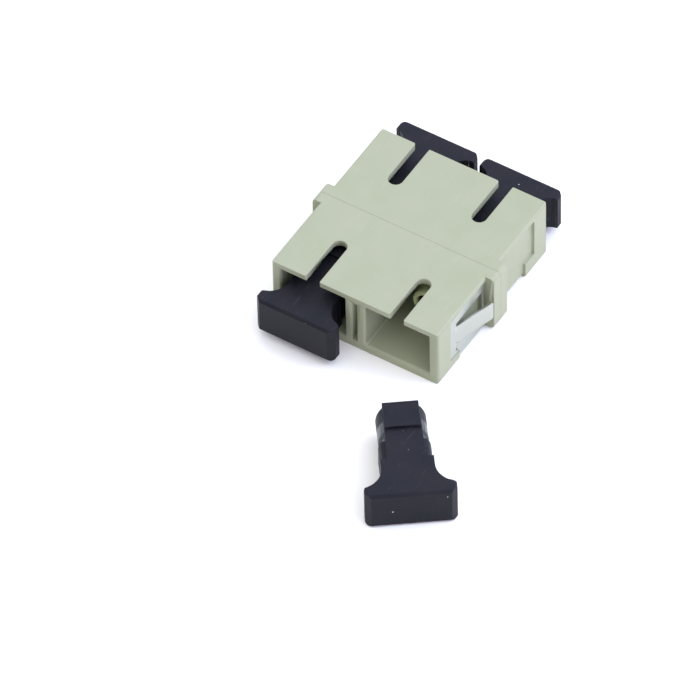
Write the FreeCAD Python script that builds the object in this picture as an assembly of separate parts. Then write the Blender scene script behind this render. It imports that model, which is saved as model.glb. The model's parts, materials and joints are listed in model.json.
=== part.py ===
import FreeCAD, Part
import math
import os

# Duplex SC fibre adapter with dust caps. Millimetres, +Z up, X along the mouths, +Y to the rear.
# The origin is the centre of the underside, in the plane where the two housing halves meet.

# Channels
port_pitch = 12.7            # between the two channel axes
port_width = 9.6             # clear width for a plug
port_height = 7.15           # clear height for a plug
port_corner = 0.25           # inner corner radius
mouth_bevel = 0.25           # lead-in round each mouth
ferrule_radius = 1.25        # bore of the alignment sleeves

# Housing
housing_length = 27.0        # both halves together
side_wall = 1.45             # beside the outer ports
floor_wall = 1.2             # under the ports
roof_wall = 1.05             # over the ports
long_edge = 0.35             # rounding of the long edges
end_edge = 0.4               # rounding of the upright end corners
flange_thickness = 3.3       # both halves together
flange_overhang = 1.2        # how far an ear stands out
flange_corner = 0.7
seam_bevel = 0.04            # edge break where the halves meet
keyway_width = 2.05
keyway_length = 7.6          # from the mouth to the round inner end
keyway_lip = 0.25            # rounding of the keyway's corners at the mouth
divider_slot = 0.8           # relief slot that cores out the wall between the ports
divider_slot_depth = 9.5

# Latch inserts and alignment sleeves
plate_thickness = 1.0
plate_lap = 0.4              # how far the plate reaches past the port into its pocket
pocket_clearance = 0.05
sleeve_wall = 0.35
sleeve_length = 11.4
sleeve_slit = 0.45
sleeve_bevel = 0.1
sleeve_clearance = 0.05      # round the sleeve, so that it floats
sleeve_end_play = 0.1
boss_wall = 0.5
boss_lip = 0.5               # keeps the sleeve in
boss_lip_clearance = 0.2     # round the ferrule
boss_lead = 0.25             # bevels at the boss's open end
hook_width = 3.0
hook_thickness = 0.6         # this, the next two and hook_clearance fill the room beside a cap's barrel
hook_flex_room = 0.44        # between a hook's arm and the port's wall
barb_height = 0.4
barb_flat = 0.5
barb_slope = 1.2             # length of the barb's lead-in
barb_play = 0.1              # between a barb and the cap groove's end
hook_clearance = 0.08        # between a barb and a cap's barrel

# Mounting clip
sheet = 0.28
bend_radius = 0.2            # inside radius of its folds
recess_depth = 0.4           # in the housing's sides
web_recess = 0.35            # in the housing's underside
tongue_pocket = 0.4          # deeper pocket behind a tongue, where it can lie flat
ledge_front = 1.4            # height of the ledge at the foot of the front half's recesses
ledge_rear = 2.4
recess_clearance = 0.1
recess_margin = 0.7          # housing left above the recess
clip_length = 8.2
clip_gap = 0.38              # from the flange to the clip
clip_notch_length = 2.2      # cut from the clip's lower front corner
window_lead = 1.4            # from the clip's front edge to the tongue's fold
window_bottom_front = 3.5    # at the tongue's fold
window_bottom_rear = 2.8
window_top = 7.2
window_strip = 0.37          # metal left behind the window
tongue_spread = 1.5          # how far a tongue's tip stands out from the housing
tongue_tip_gap = 0.1
tongue_slit = 0.2            # cut on both sides of a tongue
tongue_root_top = 6.7
tongue_tip_top = 6.0
dimple_radius = 0.7
dimple_lead = 2.08           # from the clip's front edge to the dimple's centre
dimple_height = 2.4          # above the underside
dimple_slit = 0.14

# Dust caps
cap_standoff = 4.85          # from the housing's end to the head's outer face
cap_sag = 0.25               # how far a seated cap hangs under the channel's axis
floor_clearance = 0.05
boss_clearance = 0.1
boss_cover = 3.5             # how far the barrel reaches over the boss
barrel_floor_gap = 0.4       # between the boss's end and the bottom of the barrel's bore
barrel_end = 4.5             # from the tip to the groove
nose_length = 0.6
nose_drop = 0.3              # how far the nose draws in to its end
nose_step = 0.1              # part of that drop that comes before the end bevel
groove_length = 1.0
groove_depth = 0.38
groove_slope = 0.3
bore_bevel = 0.15
head_thickness = 1.25
head_gap = 0.8               # between two neighbouring heads
head_drop = 0.225            # how far the head reaches below the barrel
head_top = 2.4               # over the barrel's axis, flush with the stem
head_corner = 0.45
head_bevel = 0.35            # along the top and bottom of the outer face
head_side_bevel = 0.8        # along its sides
flare_radius = 3.2
stem_half_width = 3.45
stem_straight = 1.5
shoulder_reach = 0.125       # how far the shoulder in front of the groove stands out past the barrel
shoulder_drop = 0.7          # from the stem's top to the shoulder's
shoulder_round = 1.2         # along the shoulder's edges
shoulder_corner = 0.45       # where it meets the groove
rib_half_width = 2.48        # narrow top plate from the stem to the tip
rib_tip_half_width = 2.35
block_length = 4.2
block_step = 0.45            # the block's height over the stem
gate_radius = 0.25
gate_depth = 0.15
gate_lead = 0.55             # in front of the block

# The cap that lies on the table
loose_x = 22.15
loose_y = -35.4
loose_turn = 37.2            # degrees about Z

# Worked out from the sizes above
half_length = housing_length / 2
housing_width = port_pitch + port_width + 2 * side_wall
housing_height = floor_wall + port_height + roof_wall
half_width = housing_width / 2
axis_height = floor_wall + port_height / 2
flange_half = flange_thickness / 2
sleeve_radius = ferrule_radius + sleeve_wall
boss_bore = sleeve_radius + sleeve_clearance
boss_radius = boss_bore + boss_wall
boss_end = sleeve_length / 2 + sleeve_end_play + boss_lip
barrel_radius = port_height / 2 - cap_sag - floor_clearance
hook_room = port_width / 2 - barrel_radius - hook_clearance
hook_share = min(1.0, hook_room / (hook_flex_room + hook_thickness + barb_height))
hook_outer = port_width / 2 - hook_flex_room * hook_share
hook_inner = hook_outer - hook_thickness * hook_share
barb_tip = hook_inner - barb_height * hook_share
cap_tip = boss_end - boss_cover
cap_length = half_length + cap_standoff - cap_tip
barrel_bore = boss_radius + cap_sag + boss_clearance
barrel_wall = barrel_radius - barrel_bore
head_half_width = (port_pitch - head_gap) / 2
head_bottom = barrel_radius + head_drop
stem_end = cap_standoff + stem_straight
groove_front = cap_length - barrel_end
groove_back = groove_front - groove_length
bore_floor = cap_length - boss_cover - barrel_floor_gap
cap_height = axis_height - cap_sag
recess_end = flange_half + clip_gap + clip_length + recess_clearance
ledge_start = recess_end - clip_notch_length
recess_top = housing_height - recess_margin
clip_front = -(flange_half + clip_gap + clip_length)
clip_back = -(flange_half + clip_gap)
past = 1.0                   # how far a cutting solid runs on past the surface it opens


def vector(x, y, z):
    return FreeCAD.Vector(x, y, z)


def in_xz(u, v, level):
    return vector(u, level, v)


def in_xy(u, v, level):
    return vector(u, v, level)


def in_yz(u, v, level):
    return vector(level, u, v)


def rounded_wire(corners, plane, level):
    """A closed outline through (u, v, radius) corners, with an arc at each corner that has a radius."""
    edges = []
    ends = []
    count = len(corners)
    for i, (u, v, radius) in enumerate(corners):
        corner = vector(u, v, 0)
        before = vector(*corners[i - 1][:2], 0) - corner
        after = vector(*corners[(i + 1) % count][:2], 0) - corner
        before.normalize()
        after.normalize()
        if radius <= 0:
            ends.append((corner, corner, None))
            continue
        half_angle = before.getAngle(after) / 2
        run = radius / math.tan(half_angle)
        middle = before + after
        middle.normalize()
        deep = corner + middle * (radius / math.sin(half_angle) - radius)
        ends.append((corner + before * run, corner + after * run, deep))
    for i, (start, stop, deep) in enumerate(ends):
        if deep is not None:
            points = [plane(p.x, p.y, level) for p in (start, deep, stop)]
            edges.append(Part.Arc(*points).toShape())
        following = ends[(i + 1) % count][0]
        if (following - stop).Length > 1e-6:
            edges.append(Part.makeLine(plane(stop.x, stop.y, level), plane(following.x, following.y, level)))
    return Part.Wire(edges)


def prism(corners, plane, start, stop):
    """The outline's solid between two levels along the plane's normal."""
    face = Part.Face(rounded_wire(corners, plane, start))
    return face.extrude(plane(0, 0, stop - start))


def rectangle(u0, u1, v0, v1, radius=0.0):
    return [(u0, v0, radius), (u1, v0, radius), (u1, v1, radius), (u0, v1, radius)]


def turned(corners, centre_x, centre_z):
    """A solid of revolution about a Y axis, from (radius, y, corner radius) points."""
    face = Part.Face(rounded_wire(corners, in_xy, 0))
    solid = face.revolve(vector(0, 0, 0), vector(0, 1, 0), 360)
    solid.translate(vector(centre_x, 0, centre_z))
    return solid


def mirrored(shape):
    """The shape's twin across the plane X = 0."""
    return shape.mirror(vector(0, 0, 0), vector(1, 0, 0))


def edges_at_y(shape, y):
    return [e for e in shape.Edges if e.BoundBox.YLength < 1e-6 and abs(e.BoundBox.YMin - y) < 1e-6]


def port_cavity(x):
    """Space for one plug, with its lead-in and the pocket for the insert's plate."""
    half = port_width / 2
    low = floor_wall
    high = floor_wall + port_height
    cavity = prism(rectangle(x - half, x + half, low, high, port_corner), in_xz, -half_length - past, past)
    wide = rectangle(x - half - mouth_bevel, x + half + mouth_bevel, low - mouth_bevel, high + mouth_bevel,
                     port_corner)
    narrow = rectangle(x - half, x + half, low, high, port_corner)
    lead_in = Part.makeLoft([rounded_wire(wide, in_xz, -half_length),
                             rounded_wire(narrow, in_xz, -half_length + mouth_bevel)], True, True)
    reach = plate_lap + pocket_clearance
    pocket = prism(rectangle(x - half - reach, x + half + reach, low - reach, high + reach),
                   in_xz, -plate_thickness - pocket_clearance, past)
    return [cavity, lead_in, pocket]


def keyway(x):
    """Slot in the roof, open at the mouth with rounded lips and round at its inner end."""
    half = keyway_width / 2
    mouth = -half_length
    inner = mouth + keyway_length - half
    outline = [(x - half - past, mouth - past, 0), (x + half + past, mouth - past, 0),
               (x + half + past, mouth, 0), (x + half, mouth, keyway_lip),
               (x + half, inner + half, half - 1e-4), (x - half, inner + half, half - 1e-4),
               (x - half, mouth, keyway_lip), (x - half - past, mouth, 0)]
    return prism(outline, in_xy, axis_height, housing_height + past)


def side_recess(ledge_height):
    """Shallow seat for one side of the clip, open at the bottom beside a ledge."""
    outline = [(-flange_half, -past, 0), (-flange_half, recess_top, long_edge),
               (-recess_end, recess_top, long_edge), (-recess_end, ledge_height, 0),
               (-ledge_start, ledge_height, 0), (-ledge_start, -past, 0)]
    return prism(outline, in_yz, half_width - recess_depth, half_width + past)


def pocket_behind_tongue():
    """Room for a tongue to be pressed flat, a little larger than the clip's window."""
    inside = half_width - recess_depth
    outline = rectangle(clip_front + window_lead, clip_back - window_strip + recess_clearance,
                        window_bottom_rear, window_top + recess_clearance)
    return prism(outline, in_yz, inside - tongue_pocket, inside + past)


def web_channel():
    """Shallow seat across the underside for the clip's web, with its edges eased for the clip's folds."""
    edge = half_width - recess_depth
    ease = bend_radius + recess_clearance
    outline = [(-edge - past, -past, 0), (edge + past, -past, 0), (edge + past, web_recess + ease, 0),
               (edge, web_recess + ease, 0), (edge - ease, web_recess, 0),
               (-edge + ease, web_recess, 0), (-edge, web_recess + ease, 0),
               (-edge - past, web_recess + ease, 0)]
    return prism(outline, in_xz, -ledge_start, -flange_half)


def housing_half(ledge_height):
    """The front half, from its mouths to the seam at Y = 0."""
    section = prism(rectangle(-half_width, half_width, 0, housing_height, long_edge), in_xz,
                    -half_length, -2 * seam_bevel)
    plan = prism([(-half_width, -half_length, end_edge), (half_width, -half_length, end_edge),
                  (half_width, 0, 0), (-half_width, 0, 0)], in_xy, 0, housing_height)
    shell = section.common(plan)
    ear = half_width + flange_overhang
    flange = prism(rectangle(-ear, ear, 0, housing_height, flange_corner), in_xz, -flange_half, 0)
    flange = flange.makeChamfer(seam_bevel, edges_at_y(flange, 0))
    half = shell.fuse(flange)
    cuts = []
    for x in (-port_pitch / 2, port_pitch / 2):
        cuts += port_cavity(x)
        cuts.append(keyway(x))
    cuts.append(prism(rectangle(-divider_slot / 2, divider_slot / 2, floor_wall, floor_wall + port_height),
                      in_xz, -half_length - past, -half_length + divider_slot_depth))
    cuts += [side_recess(ledge_height), mirrored(side_recess(ledge_height)), web_channel()]
    return half.cut(cuts).removeSplitter()


def clipped_half():
    """The front half, with the room that the clip's tongues need."""
    pocket = pocket_behind_tongue()
    return housing_half(ledge_front).cut([pocket, mirrored(pocket)]).removeSplitter()


def hook():
    """The right-hand latch hook of an insert, on the channel's axis, reaching out along -Y."""
    catch = -(cap_tip + barrel_end + barb_play)
    tip = catch - barb_flat - barb_slope
    nose = (hook_outer + hook_inner) / 2
    outline = [(hook_outer, -plate_thickness / 2, 0), (hook_inner, -plate_thickness / 2, 0),
               (hook_inner, catch, 0), (barb_tip, catch, 0), (barb_tip, catch - barb_flat, 0),
               (nose, tip, 0), (hook_outer, tip, 0)]
    return prism(outline, in_xy, -hook_width / 2, hook_width / 2)


def boss():
    """Tube that holds half of the sleeve, with a lip at its open end."""
    lip_bore = ferrule_radius + boss_lip_clearance
    lip = -(boss_end - boss_lip)
    outline = [(boss_bore, 0, 0), (boss_bore, lip, 0), (lip_bore, lip, 0),
               (lip_bore, -boss_end + boss_lead, 0),
               (lip_bore + boss_lead, -boss_end, 0), (boss_radius - boss_lead, -boss_end, 0),
               (boss_radius, -boss_end + boss_lead, 0), (boss_radius, 0, 0)]
    return turned(outline, 0, 0)


def latch_insert():
    """One insert for the front half, on the channel's axis, with its plate's back at Y = 0."""
    across = port_width / 2 + plate_lap
    up = port_height / 2 + plate_lap
    plate = prism(rectangle(-across, across, -up, up, port_corner), in_xz, -plate_thickness, 0)
    core_window = prism(rectangle(barb_tip - recess_clearance, hook_inner, -hook_width / 2, hook_width / 2),
                        in_xz, -plate_thickness - past, past)
    bore = turned([(0, -plate_thickness - past, 0), (boss_bore, -plate_thickness - past, 0),
                   (boss_bore, past, 0), (0, past, 0)], 0, 0)
    plate = plate.cut([bore, core_window, mirrored(core_window)])
    return plate.fuse([boss(), hook(), mirrored(hook())]).removeSplitter()


def alignment_sleeve():
    """Split sleeve on the channel's axis, centred on the seam, with its slit on top."""
    half = sleeve_length / 2
    outline = [(ferrule_radius, -half + sleeve_bevel, 0), (ferrule_radius + sleeve_bevel, -half, 0),
               (sleeve_radius, -half, 0), (sleeve_radius, half, 0),
               (ferrule_radius + sleeve_bevel, half, 0), (ferrule_radius, half - sleeve_bevel, 0)]
    slit = prism(rectangle(-sleeve_slit / 2, sleeve_slit / 2, 0, sleeve_radius + past), in_xz,
                 -half - past, half + past)
    return turned(outline, 0, 0).cut(slit)


def clip_body():
    """The clip's folded strip: a web under the housing and a plate up each side, notched at the front."""
    inside = half_width - recess_depth
    outside = inside + sheet
    under = web_recess - sheet
    top = recess_top - recess_clearance
    fold = bend_radius + sheet
    outline = [(-outside, top, 0), (-outside, under, fold), (outside, under, fold), (outside, top, 0),
               (inside, top, 0), (inside, web_recess, bend_radius), (-inside, web_recess, bend_radius),
               (-inside, top, 0)]
    strip = prism(outline, in_xz, clip_front, clip_back)
    notch_top = ledge_front + recess_clearance
    notch_back = -ledge_start + recess_clearance
    notch = prism(rectangle(clip_front - past, notch_back, -past, notch_top), in_yz, -half_width - past,
                  half_width + past)
    return strip.cut(notch)


def window():
    """The opening that a tongue is cut from, with its fold line left whole."""
    fold_line = clip_front + window_lead
    back = clip_back - window_strip
    outline = [(fold_line, window_bottom_front, 0.1), (back, window_bottom_rear, 0.1),
               (back, window_top, 0.1), (fold_line, window_top, 0.1)]
    return prism(outline, in_yz, half_width - recess_depth - past, half_width + past)


def tongue():
    """The spring tongue of the right-hand side, bent out from its fold and narrowing to its tip."""
    inside = half_width - recess_depth
    fold_line = clip_front + window_lead
    tip = clip_back - window_strip + tongue_tip_gap
    run = tip - fold_line
    rise = half_width + tongue_spread - inside - sheet
    slope = math.atan2(rise, run)
    thick_x = sheet / math.cos(slope)
    bend = run / 6
    strip = prism([(inside, fold_line - sheet, 0), (inside, fold_line, bend), (inside + rise, tip, 0),
                   (inside + rise + thick_x, tip, 0), (inside + thick_x, fold_line, bend),
                   (inside + sheet, fold_line - sheet, 0)], in_xy, 0, housing_height)
    shape = prism([(fold_line - sheet, window_bottom_front + tongue_slit, 0),
                   (tip, window_bottom_rear + tongue_slit, 0.3), (tip, tongue_tip_top, 0.3),
                   (fold_line - sheet, tongue_root_top, 0)], in_yz, inside - past, half_width + 3 * past)
    return strip.common(shape)


def dimple():
    """Small lanced C in the side plate that grips the housing."""
    y = clip_front + dimple_lead
    z = dimple_height
    inside = half_width - recess_depth - past
    ring = Part.makeCylinder(dimple_radius, 2 * past, vector(inside, y, z), vector(1, 0, 0))
    core = Part.makeCylinder(dimple_radius - dimple_slit, 2 * past, vector(inside, y, z), vector(1, 0, 0))
    half_plane = prism(rectangle(y - 2 * dimple_radius, y + dimple_slit, z - 2 * dimple_radius,
                                 z + 2 * dimple_radius), in_yz, inside, inside + 2 * past)
    return ring.cut(core).common(half_plane)


def mounting_clip():
    cuts = [window(), mirrored(window()), dimple(), mirrored(dimple())]
    return clip_body().cut(cuts).fuse([tongue(), mirrored(tongue())]).removeSplitter()


def flared_plan():
    """The head, its flare and the stem seen from above."""
    centre = stem_half_width + flare_radius
    reach = math.sqrt(flare_radius ** 2 - (centre - head_half_width) ** 2)
    start = cap_standoff - reach
    half_way = math.atan2(reach, centre - head_half_width) / 2
    middle = vector(centre - flare_radius * math.cos(half_way),
                    cap_standoff - flare_radius * math.sin(half_way), 0)
    grip = [vector(head_half_width - head_side_bevel, 0, 0), vector(head_half_width, head_side_bevel, 0),
            vector(head_half_width, start, 0)]
    stem = [vector(stem_half_width, cap_standoff, 0), vector(stem_half_width, stem_end, 0)]
    edges = [Part.Arc(grip[-1], middle, stem[0]).toShape()]
    edges += [Part.makeLine(p, q) for p, q in (grip[:2], grip[1:], stem)]
    edges += [mirrored(edge) for edge in edges]
    for point in (grip[0], stem[1]):
        edges.append(Part.makeLine(point, vector(-point.x, point.y, 0)))
    return Part.Face(Part.Wire(Part.sortEdges(edges)[0]))


def cap_head():
    """Grip head with its flare down to the stem, from the outer face at Y = 0."""
    plan = flared_plan().extrude(vector(0, 0, head_top + head_bottom))
    plan.translate(vector(0, 0, -head_bottom))
    front = prism(rectangle(-head_half_width, head_half_width, -head_bottom, head_top, head_corner), in_xz,
                  0, stem_end)
    side = [(0, head_bevel - head_bottom, 0), (head_bevel, -head_bottom, 0),
            (head_thickness, -head_bottom, 0), (head_thickness, -barrel_radius, 0),
            (stem_end, -barrel_radius, 0), (stem_end, head_top, 0),
            (head_bevel, head_top, 0), (0, head_top - head_bevel, 0)]
    return plan.common(front).common(prism(side, in_yz, -head_half_width, head_half_width))


def cap_shoulder():
    """Rounded bar that joins the stem to the groove's back wall."""
    half = barrel_radius + shoulder_reach
    start = cap_standoff
    front = prism(rectangle(-half, half, -barrel_radius, head_top - shoulder_drop, shoulder_round), in_xz,
                  start, groove_back)
    plan = prism([(-half, start, 0), (half, start, 0), (half, groove_back, shoulder_corner),
                  (-half, groove_back, shoulder_corner)], in_xy, -barrel_radius, head_top)
    return front.common(plan)


def cap_barrel():
    """Round end that slips over an insert's boss, with a groove for the hooks and a flat top."""
    neck = barrel_radius - min(groove_depth, barrel_wall / 2)
    rim = barrel_radius - min(nose_drop, barrel_wall / 2)
    lead = min(bore_bevel, barrel_wall / 4)
    outline = [(0, groove_back, 0), (neck, groove_back, 0), (neck, groove_front - groove_slope, 0),
               (barrel_radius, groove_front, 0), (barrel_radius, cap_length - nose_length, 0),
               (barrel_radius - nose_step, cap_length - nose_drop, 0), (rim, cap_length, 0),
               (barrel_bore + lead, cap_length, 0), (barrel_bore, cap_length - lead, 0),
               (barrel_bore, bore_floor, 0), (0, bore_floor, 0)]
    barrel = turned(outline, 0, 0)
    return barrel.cut(prism(rectangle(-barrel_radius - past, barrel_radius + past, head_top,
                                      barrel_radius + past), in_xz, 0, cap_length + past))


def cap_rib():
    """Narrow plate along the top of the barrel, with the raised block at its end."""
    plan = [(-rib_half_width, stem_end - past, 0), (rib_half_width, stem_end - past, 0),
            (rib_tip_half_width, cap_length, 0), (-rib_tip_half_width, cap_length, 0)]
    rib = prism(plan, in_xy, 0, head_top)
    block = prism(rectangle(-rib_tip_half_width, rib_tip_half_width, cap_length - block_length, cap_length),
                  in_xy, 0, head_top + block_step)
    bore = turned([(0, bore_floor, 0), (barrel_bore, bore_floor, 0), (barrel_bore, cap_length + past, 0),
                   (0, cap_length + past, 0)], 0, 0)
    return rib.fuse(block).cut(bore)


def dust_cap():
    """A cap on the barrel's axis, with its head's outer face at Y = 0 and its tip along +Y."""
    cap = cap_head().fuse([cap_shoulder(), cap_barrel(), cap_rib()])
    gate = Part.makeCylinder(gate_radius, gate_depth + past,
                             vector(0, cap_length - block_length - gate_lead, head_top - gate_depth))
    return cap.cut(gate).removeSplitter()


def placed(shape, x, y, z, turn=0):
    """A copy turned about Z, then moved."""
    copy = shape.copy()
    copy.rotate(vector(0, 0, 0), vector(0, 0, 1), turn)
    copy.translate(vector(x, y, z))
    return copy


def loose_cap(cap):
    """The cap that lies on the table, on the back edge of its head and on its barrel."""
    run = cap_length - nose_length - head_thickness
    lean = math.degrees(math.asin(head_drop / run))
    copy = cap.copy()
    copy.rotate(vector(0, head_thickness, -head_bottom), vector(1, 0, 0), -lean)
    return placed(copy, loose_x, loose_y, head_bottom, loose_turn)


def all_parts():
    insert = latch_insert()
    sleeve = alignment_sleeve()
    cap = dust_cap()
    left = -port_pitch / 2
    right = port_pitch / 2
    head_face = half_length + cap_standoff
    parts = {"housing_front": clipped_half(), "mounting_clip": mounting_clip(),
             "housing_rear": placed(housing_half(ledge_rear), 0, 0, 0, 180)}
    for side, x in (("left", left), ("right", right)):
        parts["insert_front_" + side] = placed(insert, x, 0, axis_height)
        parts["insert_rear_" + side] = placed(insert, x, 0, axis_height, 180)
        parts["sleeve_" + side] = placed(sleeve, x, 0, axis_height)
        parts["cap_rear_" + side] = placed(cap, x, head_face, cap_height, 180)
    parts["cap_front_left"] = placed(cap, left, -head_face, cap_height)
    parts["cap_loose"] = loose_cap(cap)
    return parts


os.makedirs("parts", exist_ok=True)
for name, shape in all_parts().items():
    shape.exportStep("parts/" + name + ".step")
    print(name, "solids", len(shape.Solids), "valid", shape.isValid(), "volume", round(shape.Volume, 2))
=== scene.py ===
import json
import math
import bmesh
import bpy
import numpy as np
from mathutils import Matrix, Vector
from mathutils.bvhtree import BVHTree
from mathutils.kdtree import KDTree

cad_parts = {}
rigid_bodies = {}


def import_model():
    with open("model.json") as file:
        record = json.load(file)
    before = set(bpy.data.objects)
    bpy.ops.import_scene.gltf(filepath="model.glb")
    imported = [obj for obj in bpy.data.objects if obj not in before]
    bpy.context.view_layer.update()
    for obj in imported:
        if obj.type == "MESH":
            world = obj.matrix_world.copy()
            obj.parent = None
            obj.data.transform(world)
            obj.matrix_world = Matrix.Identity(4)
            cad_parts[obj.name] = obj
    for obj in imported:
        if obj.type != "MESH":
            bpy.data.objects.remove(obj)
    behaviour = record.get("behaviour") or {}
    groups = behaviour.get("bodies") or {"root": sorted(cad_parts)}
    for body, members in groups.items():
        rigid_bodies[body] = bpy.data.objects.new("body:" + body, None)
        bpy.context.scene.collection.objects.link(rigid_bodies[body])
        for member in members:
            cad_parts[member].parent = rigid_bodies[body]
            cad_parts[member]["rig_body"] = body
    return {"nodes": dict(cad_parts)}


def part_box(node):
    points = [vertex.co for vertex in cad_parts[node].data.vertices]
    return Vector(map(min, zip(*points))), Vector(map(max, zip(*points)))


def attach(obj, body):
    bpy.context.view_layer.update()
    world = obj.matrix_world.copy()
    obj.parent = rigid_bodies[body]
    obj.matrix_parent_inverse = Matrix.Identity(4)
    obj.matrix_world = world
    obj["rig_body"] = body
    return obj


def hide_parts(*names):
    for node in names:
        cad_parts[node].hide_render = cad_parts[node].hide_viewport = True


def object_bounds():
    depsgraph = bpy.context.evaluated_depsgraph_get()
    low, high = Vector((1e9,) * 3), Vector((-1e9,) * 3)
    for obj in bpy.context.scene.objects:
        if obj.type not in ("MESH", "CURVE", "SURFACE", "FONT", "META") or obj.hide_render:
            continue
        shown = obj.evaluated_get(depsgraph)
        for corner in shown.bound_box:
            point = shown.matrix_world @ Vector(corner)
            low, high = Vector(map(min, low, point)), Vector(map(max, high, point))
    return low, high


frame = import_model()
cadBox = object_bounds()
mm = 0.001
print("frame loaded:", len(frame["nodes"]), "nodes")


# shader groups shared by several materials

def newGroup(name, inputs, outputs):
    # a shader node group with named sockets: inputs as (name, kind, value), outputs as (name, kind)
    group = bpy.data.node_groups.new(name, "ShaderNodeTree")
    for socketName, kind, value in inputs:
        socket = group.interface.new_socket(socketName, in_out="INPUT", socket_type=kind)
        if value is not None:
            socket.default_value = value
    for socketName, kind in outputs:
        group.interface.new_socket(socketName, in_out="OUTPUT", socket_type=kind)
    return group, group.nodes.new("NodeGroupInput"), group.nodes.new("NodeGroupOutput")


def addNode(tree, kind, label="", **settings):
    # one node with its settings
    node = tree.nodes.new(kind)
    node.label = label
    for key, value in settings.items():
        setattr(node, key, value)
    return node


def mathNode(tree, operation, a, b=None, clamp=False):
    # one Math node; a and b are sockets or plain numbers
    node = addNode(tree, "ShaderNodeMath", operation=operation, use_clamp=clamp)
    for slot, value in enumerate((a, b)):
        if value is None:
            continue
        if isinstance(value, (int, float)):
            node.inputs[slot].default_value = value
        else:
            tree.links.new(value, node.inputs[slot])
    return node.outputs[0]


def vectorNode(tree, operation, a, b, output="Vector"):
    # one Vector Math node; a and b are sockets or three numbers
    node = addNode(tree, "ShaderNodeVectorMath", operation=operation)
    for slot, value in enumerate((a, b)):
        if isinstance(value, tuple):
            node.inputs[slot].default_value = value
        else:
            tree.links.new(value, node.inputs[slot])
    return node.outputs[output]


def ramp(tree, value, low, high, toLow=0.0, toHigh=1.0):
    # value between low and high, spread over toLow to toHigh and held at its ends
    node = addNode(tree, "ShaderNodeMapRange")
    tree.links.new(value, node.inputs["Value"])
    node.inputs["From Min"].default_value = low
    node.inputs["From Max"].default_value = high
    node.inputs["To Min"].default_value = toLow
    node.inputs["To Max"].default_value = toHigh
    return node.outputs["Result"]


skinShape = {
    "grainDetail": 3.0, "grainRoughness": 0.6, "mottleDetail": 4.0, "mottleSpread": (0.35, 0.65),
}


def mouldedSkinGroup():
    # height = fine grain * Depth; mottle = slow cloudy change from 0 to 1
    group, given, out = newGroup("mouldedSkin",
        [("Vector", "NodeSocketVector", None), ("Grain Scale", "NodeSocketFloat", 9000.0),
         ("Depth", "NodeSocketFloat", 1.0), ("Mottle Scale", "NodeSocketFloat", 260.0)],
        [("Height", "NodeSocketFloat"), ("Mottle", "NodeSocketFloat")])
    grain = addNode(group, "ShaderNodeTexNoise", "grain")
    grain.inputs["Detail"].default_value = skinShape["grainDetail"]
    grain.inputs["Roughness"].default_value = skinShape["grainRoughness"]
    group.links.new(given.outputs["Vector"], grain.inputs["Vector"])
    group.links.new(given.outputs["Grain Scale"], grain.inputs["Scale"])
    height = mathNode(group, "MULTIPLY", grain.outputs["Fac"], given.outputs["Depth"])
    group.links.new(height, out.inputs["Height"])
    cloud = addNode(group, "ShaderNodeTexNoise", "mottle")
    cloud.inputs["Detail"].default_value = skinShape["mottleDetail"]
    group.links.new(given.outputs["Vector"], cloud.inputs["Vector"])
    group.links.new(given.outputs["Mottle Scale"], cloud.inputs["Scale"])
    mottle = ramp(group, cloud.outputs["Fac"], *skinShape["mottleSpread"])
    group.links.new(mottle, out.inputs["Mottle"])
    return group


marksShape = {  # the stretch makes lines of the noise
    "detail": 2.0, "turn": (0.3, 0.5, 0.9), "stretch": (1.0, 0.05, 1.0),
    "lineSpread": (0.6, 0.68), "patchSpread": (0.5, 0.62),
}


def handlingMarksGroup():
    # marks = thin stretched noise kept only where a slow noise is high, so scuffs come in patches
    group, given, out = newGroup("handlingMarks",
        [("Vector", "NodeSocketVector", None), ("Fineness", "NodeSocketFloat", 5000.0),
         ("Patch Scale", "NodeSocketFloat", 400.0)], [("Marks", "NodeSocketFloat")])
    lines = addNode(group, "ShaderNodeTexNoise", "scratches")
    lines.inputs["Detail"].default_value = marksShape["detail"]
    turned = addNode(group, "ShaderNodeMapping", "slant")
    turned.inputs["Rotation"].default_value = marksShape["turn"]
    turned.inputs["Scale"].default_value = marksShape["stretch"]
    group.links.new(given.outputs["Vector"], turned.inputs["Vector"])
    group.links.new(turned.outputs["Vector"], lines.inputs["Vector"])
    group.links.new(given.outputs["Fineness"], lines.inputs["Scale"])
    patch = addNode(group, "ShaderNodeTexNoise", "patches")
    group.links.new(given.outputs["Vector"], patch.inputs["Vector"])
    group.links.new(given.outputs["Patch Scale"], patch.inputs["Scale"])
    thin = ramp(group, lines.outputs["Fac"], *marksShape["lineSpread"])
    where = ramp(group, patch.outputs["Fac"], *marksShape["patchSpread"])
    group.links.new(mathNode(group, "MULTIPLY", thin, where), out.inputs["Marks"])
    return group


lintShape = {"raggedScale": 7000.0, "raggedness": 0.05, "smallest": 0.3, "core": 0.025}


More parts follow.
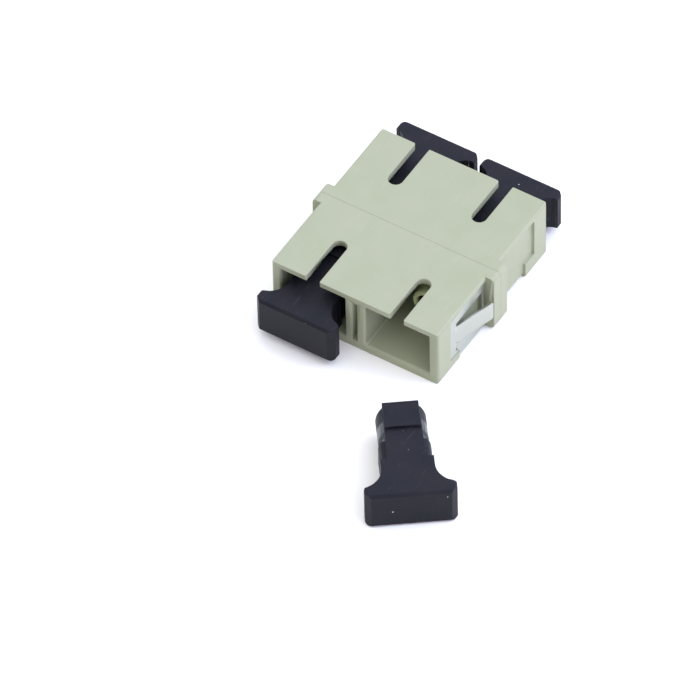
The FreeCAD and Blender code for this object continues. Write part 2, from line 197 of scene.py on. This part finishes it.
def lintSpecksGroup():
    # mask = 1 where the distance to a cell's point + ragged noise is under Size * (a number of the
    # cell's own + smallest) + core, in the Share of the cells that are chosen
    group, given, out = newGroup("lintSpecks",
        [("Vector", "NodeSocketVector", None), ("Cells", "NodeSocketFloat", 600.0),
         ("Share", "NodeSocketFloat", 0.2), ("Size", "NodeSocketFloat", 0.06)],
        [("Mask", "NodeSocketFloat")])
    warp = addNode(group, "ShaderNodeTexNoise", "ragged edge")
    warp.inputs["Scale"].default_value = lintShape["raggedScale"]
    group.links.new(given.outputs["Vector"], warp.inputs["Vector"])
    cells = addNode(group, "ShaderNodeTexVoronoi", "cells")
    group.links.new(given.outputs["Vector"], cells.inputs["Vector"])
    group.links.new(given.outputs["Cells"], cells.inputs["Scale"])
    rag = mathNode(group, "MULTIPLY", warp.outputs["Fac"], lintShape["raggedness"])
    ragged = mathNode(group, "ADD", cells.outputs["Distance"], rag)
    split = addNode(group, "ShaderNodeSeparateColor")
    group.links.new(cells.outputs["Color"], split.inputs["Color"])
    share = mathNode(group, "ADD", split.outputs["Green"], lintShape["smallest"])
    size = mathNode(group, "MULTIPLY", given.outputs["Size"], share)
    inside = mathNode(group, "LESS_THAN", ragged, mathNode(group, "ADD", size, lintShape["core"]))
    chosen = mathNode(group, "LESS_THAN", split.outputs["Red"], given.outputs["Share"])
    group.links.new(mathNode(group, "MULTIPLY", inside, chosen), out.inputs["Mask"])
    return group


mouldedSkin = mouldedSkinGroup()
handlingMarks = handlingMarksGroup()
lintSpecks = lintSpecksGroup()
print("shader groups built")


# materials

def newMaterial(name):
    # an empty material with its shader; where = the point in the object's own coordinates
    material = bpy.data.materials.new(name)
    material.use_nodes = True
    tree = material.node_tree
    tree.nodes.clear()
    shader = addNode(tree, "ShaderNodeBsdfPrincipled")
    output = addNode(tree, "ShaderNodeOutputMaterial")
    tree.links.new(shader.outputs["BSDF"], output.inputs["Surface"])
    coordinates = addNode(tree, "ShaderNodeTexCoord")
    return material, tree, shader, coordinates.outputs["Object"]


def useGroup(tree, group, vector, values):
    # one of the shared groups in a material, with its own values
    node = addNode(tree, "ShaderNodeGroup", group.name)
    node.node_tree = group
    tree.links.new(vector, node.inputs["Vector"])
    for key, value in values.items():
        node.inputs[key].default_value = value
    return node


def mixColour(tree, factor, first, second):
    # first where factor is 0, second where it is 1
    node = addNode(tree, "ShaderNodeMix", data_type="RGBA")
    tree.links.new(factor, node.inputs["Factor"])
    for name, value in (("A", first), ("B", second)):
        socket = [s for s in node.inputs if s.name == name and s.type == "RGBA"][0]
        if isinstance(value, tuple):
            socket.default_value = (*value, 1.0)
        else:
            tree.links.new(value, socket)
    return [s for s in node.outputs if s.type == "RGBA"][0]


def bump(tree, shader, height, strength, distance):
    # height drawn as small relief on the surface
    node = addNode(tree, "ShaderNodeBump")
    node.inputs["Strength"].default_value = strength
    node.inputs["Distance"].default_value = distance
    tree.links.new(height, node.inputs["Height"])
    tree.links.new(node.outputs["Normal"], shader.inputs["Normal"])


def glossAndPaintedSheenBand(tree, shader, colour, look):
    # band = 1 where the place behind the nose is from start to end and the place under the cap's
    # top is more than below, so away from the top face; colour mixed with the band's own lighter
    # colour by band as a painted sheen, and a real gloss coat = band * strength
    measured = addNode(tree, "ShaderNodeAttribute", attribute_name="capPlace")
    place = addNode(tree, "ShaderNodeSeparateXYZ")
    tree.links.new(measured.outputs["Vector"], place.inputs["Vector"])
    behind, fade = place.outputs["X"], look["fade"]
    reach = mathNode(tree, "MULTIPLY", ramp(tree, behind, look["start"], look["start"] + fade),
                     ramp(tree, behind, look["end"], look["end"] - fade))
    under = ramp(tree, place.outputs["Y"], look["below"], look["below"] + fade)
    band = mathNode(tree, "MULTIPLY", reach, under)
    tree.links.new(mixColour(tree, band, colour, look["colour"]), shader.inputs["Base Color"])
    tree.links.new(mathNode(tree, "MULTIPLY", band, look["strength"]), shader.inputs["Coat Weight"])
    shader.inputs["Coat Roughness"].default_value = look["roughness"]


def mouldedPlastic(name, look):
    # colour = the first colour mixed with the second by the mottle, then with the scuff colour by
    # marks * scuffAmount, then with the lint colour by the lint mask
    # roughness = the mottle spread over its range + marks * scuffRoughness; height = the grain
    material, tree, shader, where = newMaterial(name)
    skin = useGroup(tree, mouldedSkin, where, look["skin"])
    marks = useGroup(tree, handlingMarks, where, look["marks"])
    lint = useGroup(tree, lintSpecks, where, look["lint"])
    colour = mixColour(tree, skin.outputs["Mottle"], look["colour"], look["secondColour"])
    scuffs = mathNode(tree, "MULTIPLY", marks.outputs["Marks"], look["scuffAmount"])
    scuffed = mixColour(tree, scuffs, colour, look["scuffColour"])
    dusted = mixColour(tree, lint.outputs["Mask"], scuffed, look["lintColour"])
    tree.links.new(dusted, shader.inputs["Base Color"])
    rough = ramp(tree, skin.outputs["Mottle"], 0.0, 1.0, *look["roughness"])
    scratched = mathNode(tree, "MULTIPLY", marks.outputs["Marks"], look["scuffRoughness"])
    rougher = mathNode(tree, "ADD", rough, scratched, clamp=True)
    tree.links.new(rougher, shader.inputs["Roughness"])
    shader.inputs["Specular IOR Level"].default_value = look["specular"]
    bump(tree, shader, skin.outputs["Height"], look["bumpStrength"], look["bumpDepth"])
    # a band of painted sheen (a lighter colour standing in for light on the cap's sides) with a real
    # gloss coat
    if "glossAndPaintedSheen" in look:
        glossAndPaintedSheenBand(tree, shader, dusted, look["glossAndPaintedSheen"])
    return material


housingLook = {
    "colour": (0.293, 0.313, 0.188), "secondColour": (0.309, 0.325, 0.202),
    "scuffColour": (0.39, 0.41, 0.27), "scuffAmount": 0.25, "lintColour": (0.52, 0.52, 0.48),
    "skin": {"Grain Scale": 7000.0, "Depth": 1.0, "Mottle Scale": 240.0},
    "marks": {"Fineness": 4200.0, "Patch Scale": 300.0},
    "lint": {"Cells": 260.0, "Share": 0.08, "Size": 0.012},
    "roughness": (0.42, 0.5), "scuffRoughness": 0.15, "specular": 0.4,
    "bumpStrength": 0.12, "bumpDepth": 0.00003,
}
insertLook = {**housingLook, "colour": (0.42, 0.47, 0.23), "secondColour": (0.44, 0.49, 0.245),
              "roughness": (0.36, 0.44)}
capLook = {
    "colour": (0.0068, 0.0080, 0.0112), "secondColour": (0.0125, 0.0112, 0.0140),
    "scuffColour": (0.06, 0.06, 0.066), "scuffAmount": 0.3, "lintColour": (0.36, 0.37, 0.39),
    "skin": {"Grain Scale": 8000.0, "Depth": 1.0, "Mottle Scale": 420.0},
    "marks": {"Fineness": 5200.0, "Patch Scale": 520.0},
    "lint": {"Cells": 900.0, "Share": 0.16, "Size": 0.085},
    "roughness": (0.46, 0.56), "scuffRoughness": 0.15, "specular": 0.16,
    "bumpStrength": 0.2, "bumpDepth": 0.00003,
    # the places of the painted sheen band, with its gloss coat, are in metres
    "glossAndPaintedSheen": {"start": 0.0025, "end": 0.0057, "below": 0.00045, "fade": 0.0004, "strength": 0.65,
                 # this colour is a painted sheen, lighter than the cap's own plastic
                 "colour": (0.018, 0.024, 0.025), "roughness": 0.18},
}
housingPlastic = mouldedPlastic("housingPlastic", housingLook)
insertPlastic = mouldedPlastic("insertPlastic", insertLook)
capPlastic = mouldedPlastic("capPlastic", capLook)


def rolledMetal(name, look):
    # lines = noise stretched into long rolling lines by lineScale
    # colour = the first colour mixed with the second by the lines; height = the lines
    # roughness = the lines' spread taken over its range + marks * scuffRoughness
    material, tree, shader, where = newMaterial(name)
    lines = addNode(tree, "ShaderNodeTexNoise", "rolling lines")
    lines.inputs["Scale"].default_value = 1.0
    lines.inputs["Detail"].default_value = look["lineDetail"]
    tree.links.new(vectorNode(tree, "MULTIPLY", where, look["lineScale"]), lines.inputs["Vector"])
    marks = useGroup(tree, handlingMarks, where, look["marks"])
    colour = mixColour(tree, lines.outputs["Fac"], look["colour"], look["secondColour"])
    tree.links.new(colour, shader.inputs["Base Color"])
    rough = ramp(tree, lines.outputs["Fac"], *look["lineSpread"], *look["roughness"])
    scratched = mathNode(tree, "MULTIPLY", marks.outputs["Marks"], look["scuffRoughness"])
    rougher = mathNode(tree, "ADD", rough, scratched, clamp=True)
    tree.links.new(rougher, shader.inputs["Roughness"])
    shader.inputs["Metallic"].default_value = 1.0
    bump(tree, shader, lines.outputs["Fac"], look["bumpStrength"], look["bumpDepth"])
    return material


steelLook = {
    "colour": (0.45, 0.47, 0.42), "secondColour": (0.52, 0.54, 0.48),
    "lineScale": (120.0, 16000.0, 120.0), "lineDetail": 3.0, "lineSpread": (0.3, 0.7),
    "marks": {"Fineness": 6000.0, "Patch Scale": 500.0},
    "roughness": (0.3, 0.42), "scuffRoughness": 0.12, "bumpStrength": 0.12, "bumpDepth": 0.000006,
}
bronzeLook = {**steelLook, "colour": (0.17, 0.135, 0.095), "secondColour": (0.22, 0.17, 0.12),
              "lineScale": (9000.0, 150.0, 9000.0), "roughness": (0.4, 0.52)}
clipSteel = rolledMetal("clipSteel", steelLook)
sleeveBronze = rolledMetal("sleeveBronze", bronzeLook)
print("materials built")


# pieces: each CAD part with its sharp edges eased as the real mould or press leaves them

# by the start of a part's name: width of its eased edges in metres, its material and its slot
softening = {
    "housing": (0.00012, housingPlastic, "housing_plastic"),
    "insert": (0.00006, insertPlastic, "insert_plastic"),
    "sleeve": (0.00003, sleeveBronze, "sleeve_bronze"),
    "mounting": (0.00004, clipSteel, "clip_steel"),
    "cap": (0.00009, capPlastic, "cap_plastic"),
}
seamDepth = 0.00001  # edges this near the plane where the two halves are welded stay sharp
mergeGap = 2e-7  # metres between corners that are one
flatAngle = math.radians(0.3)  # faces that meet at less are one flat area
sharpAngle = math.radians(28)  # edges that turn more are eased
easedSegments = 2
strayLimit = 1.1  # how far, in widths, an eased point may lie from the sharp part
strayReach = 2.0  # how far, in widths, round a stray point's neighbours the easing is taken off
strayRounds = 12  # the most times that the easing is tried again
turnedArea = 1e-10  # smallest wrongly turned triangle that counts, in square metres
turnedShare = 0.5  # a triangle whose normal agrees less than this with its face's is wrongly turned
planeSlack = 0.000015  # how far a corner may lie off the plane of its face
boxSlack = 1e-6  # how far an eased point may lie outside the part's own box


def mergedPart(node):
    # the part's triangles merged, and flat areas joined into whole faces
    mesh = bmesh.new()
    mesh.from_mesh(frame["nodes"][node].data)
    bmesh.ops.remove_doubles(mesh, verts=mesh.verts, dist=mergeGap)
    bmesh.ops.dissolve_limit(mesh, angle_limit=flatAngle, verts=mesh.verts, edges=mesh.edges,
                             delimit={"NORMAL"})
    for face in mesh.faces:
        face.smooth = True
    return mesh


def readMesh(items, name, width, kind=float):
    # one value row for each item of a mesh
    values = np.empty(len(items) * width, dtype=kind)
    items.foreach_get(name, values)
    return values.reshape(-1, width) if width > 1 else values


def sidesCross(outline):
    # which sides of a flat outline cross another one: the ends of each lie on opposite sides
    # of the other's line
    side = np.roll(outline, -1, axis=0) - outline
    gap = outline[None, :, :] - outline[:, None, :]
    starts = side[:, None, 0] * gap[:, :, 1] - side[:, None, 1] * gap[:, :, 0]
    ends = starts + side[:, None, 0] * side[None, :, 1] - side[:, None, 1] * side[None, :, 0]
    split = starts * ends < 0.0
    return (split & split.T).any(axis=1)


def crossedPoints(mesh, places):
    # in faces whose triangles don't all face the same way: the points of sides that cross, and
    # the points that lie off the plane of the rest
    mesh.calc_loop_triangles()
    triangles = mesh.loop_triangles
    owner = readMesh(triangles, "polygon_index", 1, int)
    facing = readMesh(mesh.polygons, "normal", 3)
    turned = (readMesh(triangles, "normal", 3) * facing[owner]).sum(axis=1) < turnedShare
    crossed = []
    for number in np.unique(owner[turned & (readMesh(triangles, "area", 1) > turnedArea)]):
        corners = np.array(mesh.polygons[number].vertices)
        across = Vector(facing[number]).orthogonal().normalized()
        flat = np.array((across, Vector(facing[number]).cross(across)))
        sides = sidesCross((places[corners] - places[corners[0]]) @ flat.T)
        height = (places[corners] - places[corners[0]]) @ facing[number]
        offPlane = np.abs(height - np.median(height)) > planeSlack
        crossed.extend(corners[sides | np.roll(sides, 1) | offPlane])
    return np.unique(np.array(crossed, dtype=int))


def takeEasingOff(mesh, weight, places, reach):
    # no easing on the sharp edges that meet within reach of the given places
    corners = [v for v in mesh.verts if any(edge[weight] > 0.0 for edge in v.link_edges)]
    tree = KDTree(len(corners))
    for index, corner in enumerate(corners):
        tree.insert(corner.co, index)
    tree.balance()
    for place in places:
        for _, index, _ in tree.find_range(Vector(place), reach) or [tree.find(Vector(place))]:
            for edge in corners[index].link_edges:
                edge[weight] = 0.0


def easedCopy(node, width):
    # the part with its sharp edges rounded by width, except where the rounding would throw points off
    # the part or make a face's outline cross itself
    mesh = mergedPart(node)
    surface = BVHTree.FromBMesh(mesh)
    low, high = (np.array(corner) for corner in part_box(node))
    weight = mesh.edges.layers.float.new("bevel_weight_edge")
    for edge in mesh.edges:
        welded = max(abs(end.co.y) for end in edge.verts) < seamDepth
        edge[weight] = 1.0 if edge.calc_face_angle() > sharpAngle and not welded else 0.0
    piece = bpy.data.objects.new(node + "Eased", bpy.data.meshes.new(node + "Eased"))
    bpy.context.scene.collection.objects.link(piece)
    bevel = piece.modifiers.new("easedEdges", "BEVEL")
    bevel.width = width
    bevel.segments = easedSegments
    bevel.limit_method = "WEIGHT"
    bevel.use_clamp_overlap = False
    bevel.harden_normals = True
    for _ in range(strayRounds):
        for edge in mesh.edges:
            edge.smooth = edge[weight] > 0.0 or edge.calc_face_angle() < sharpAngle
        mesh.to_mesh(piece.data)
        result = piece.evaluated_get(bpy.context.evaluated_depsgraph_get()).to_mesh()
        places = readMesh(result.vertices, "co", 3)
        pairs = readMesh(result.edges, "vertices", 2, int)
        crossed = crossedPoints(result, places)
        off = np.array([surface.find_nearest(Vector(place))[3] for place in places])
        away = off > width * strayLimit
        away |= ((places < low - boxSlack) | (places > high + boxSlack)).any(axis=1)
        if not away.any() and not len(crossed):
            break
        crossing = pairs[away[pairs[:, 0]] != away[pairs[:, 1]]]
        beside = np.unique(crossing[~away[crossing]])
        takeEasingOff(mesh, weight, places[np.union1d(beside, crossed)], width * strayReach)
    else:
        print(node, "still has stray points after the last round")
    mesh.free()
    # large flat faces decide the shading, so they stay flat beside the rounds
    flats = piece.modifiers.new("flatsFirst", "WEIGHTED_NORMAL")
    flats.keep_sharp = True
    return piece


noseTurn = {  # the way each cap's nose points, in degrees from +Y towards -X
    "cap_front_left": 0.0, "cap_rear_left": 180.0, "cap_rear_right": 180.0, "cap_loose": 37.2,
}


def measureCap(piece, degrees):
    # attribute capPlace = how far a point lies behind the foremost one along the way the nose points,
    # and how far under the highest one
    places = readMesh(piece.data.vertices, "co", 3)
    turn = math.radians(degrees)
    ahead = places @ np.array((-math.sin(turn), math.cos(turn), 0.0))
    heights = places[:, 2]
    values = np.column_stack((ahead.max() - ahead, heights.max() - heights, np.zeros(len(places))))
    measured = piece.data.attributes.new("capPlace", "FLOAT_VECTOR", "POINT")
    measured.data.foreach_set("vector", values.ravel())


for node in sorted(frame["nodes"]):
    width, material, slotName = softening[node.split("_")[0]]
    piece = easedCopy(node, width)
    if node in noseTurn:
        measureCap(piece, noseTurn[node])
    for data in (piece.data, frame["nodes"][node].data):
        data.materials.clear()
        data.materials.append(material)
    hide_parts(node)
    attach(piece, frame["nodes"][node]["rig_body"])
print("pieces made")


# floor, light and camera

stageLook = {  # half the floor's side and how far it lies under the object, in metres
    "halfSize": 3.0, "drop": 0.00002, "colour": (0.92, 0.91, 0.80), "roughness": 0.9, "specular": 0.1,
}


def makeFloor():
    # a plain matt square under the object
    data = bpy.data.meshes.new("floor")
    half = stageLook["halfSize"]
    level = cadBox[0].z - stageLook["drop"]
    corners = [(-half, -half, level), (half, -half, level), (half, half, level), (-half, half, level)]
    data.from_pydata(corners, [], [(0, 1, 2, 3)])
    floor = bpy.data.objects.new("floor", data)
    bpy.context.scene.collection.objects.link(floor)
    material, _, shader, _ = newMaterial("floorPaper")
    shader.inputs["Base Color"].default_value = (*stageLook["colour"], 1.0)
    shader.inputs["Roughness"].default_value = stageLook["roughness"]
    shader.inputs["Specular IOR Level"].default_value = stageLook["specular"]
    data.materials.append(material)


# each soft box: azimuth from +X and elevation in degrees, distance and size in metres, power in watts
lights = {
    "key": {"azimuth": 22.0, "elevation": 48.0, "distance": 0.9, "size": 0.5, "power": 3.2,
            "colour": (0.58, 0.74, 1.0)},
}
tent = {  # colour and brightness of the light tent towards each side
    "right": (2.15, 2.05, 3.3), "left": (1.05, 1.1, 1.45), "back": (1.35, 1.5, 2.15),
    "front": (0.22, 0.23, 0.25), "above": (1.85, 1.85, 2.05), "below": (0.3, 0.3, 0.3),
}


def makeLight(name, look):
    # a round soft box that faces the object
    lamp = bpy.data.lights.new(name, "AREA")
    lamp.shape = "DISK"
    lamp.size = look["size"]
    lamp.energy = look["power"]
    lamp.color = look["colour"]
    light = bpy.data.objects.new(name, lamp)
    bpy.context.scene.collection.objects.link(light)
    azimuth, elevation = math.radians(look["azimuth"]), math.radians(look["elevation"])
    level = math.cos(elevation)
    towards = Vector((math.cos(azimuth) * level, math.sin(azimuth) * level, math.sin(elevation)))
    light.location = towards * look["distance"]
    light.rotation_mode = "QUATERNION"
    light.rotation_quaternion = towards.to_track_quat("Z", "Y")


def makeTent():
    # the light from a direction = each axis's share of the direction, squared, * the colour of
    # that side
    world = bpy.data.worlds.new("lightTent")
    world.use_nodes = True
    tree = world.node_tree
    direction = addNode(tree, "ShaderNodeTexCoord").outputs["Object"]
    halves = []
    for sign, sides in ((1.0, ("right", "back", "above")), (-1.0, ("left", "front", "below"))):
        signed = vectorNode(tree, "MULTIPLY", direction, (sign,) * 3)
        facing = vectorNode(tree, "MAXIMUM", signed, (0.0,) * 3)
        halves.append((vectorNode(tree, "MULTIPLY", facing, facing), sides))
    mixed = addNode(tree, "ShaderNodeCombineColor")
    for channel in range(3):
        parts = []
        for share, sides in halves:
            brightness = tuple(tent[side][channel] for side in sides)
            parts.append(vectorNode(tree, "DOT_PRODUCT", share, brightness, "Value"))
        tree.links.new(mathNode(tree, "ADD", *parts), mixed.inputs[channel])
    tree.links.new(mixed.outputs["Color"], tree.nodes["Background"].inputs["Color"])
    bpy.context.scene.world = world


view = {  # angles in degrees, the rest in millimetres
    "azimuth": 32.744, "elevation": 48.696, "roll": -1.154, "distance": 1423.5, "lens": 565.7,
    "sensor": 36.0, "aimRight": -7.733, "aimUp": -12.178, "aimDrop": 0.05,
    "nearest": 50.0, "farthest": 20000.0,
}


def makeCamera():
    # the camera looks at the middle of the housing's height, moved aside by the aim
    azimuth, elevation, roll = (math.radians(view[key]) for key in ("azimuth", "elevation", "roll"))
    level = math.cos(elevation)
    back = Vector((math.sin(azimuth) * level, -math.cos(azimuth) * level, math.sin(elevation)))
    flatRight = Vector((math.cos(azimuth), math.sin(azimuth), 0.0))
    flatUp = back.cross(flatRight)
    right = flatRight * math.cos(roll) + flatUp * math.sin(roll)
    up = flatUp * math.cos(roll) - flatRight * math.sin(roll)
    low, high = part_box("housing_front")
    target = Vector((0.0, 0.0, (low.z + high.z) / 2 - view["aimDrop"] * mm))
    data = bpy.data.cameras.new("camera")
    data.lens = view["lens"]
    data.sensor_width = view["sensor"]
    data.clip_start = view["nearest"] * mm
    data.clip_end = view["farthest"] * mm
    camera = bpy.data.objects.new("camera", data)
    bpy.context.scene.collection.objects.link(camera)
    aside = right * (view["aimRight"] * mm) + up * (view["aimUp"] * mm)
    place = target + aside + back * (view["distance"] * mm)
    turn = Matrix((right, up, back)).transposed().to_4x4()
    camera.matrix_world = Matrix.Translation(place) @ turn
    bpy.context.scene.camera = camera


makeFloor()
for name, look in lights.items():
    makeLight(name, look)
makeTent()
makeCamera()
bpy.context.scene.view_settings.view_transform = "Standard"
print("stage, lights and camera placed")
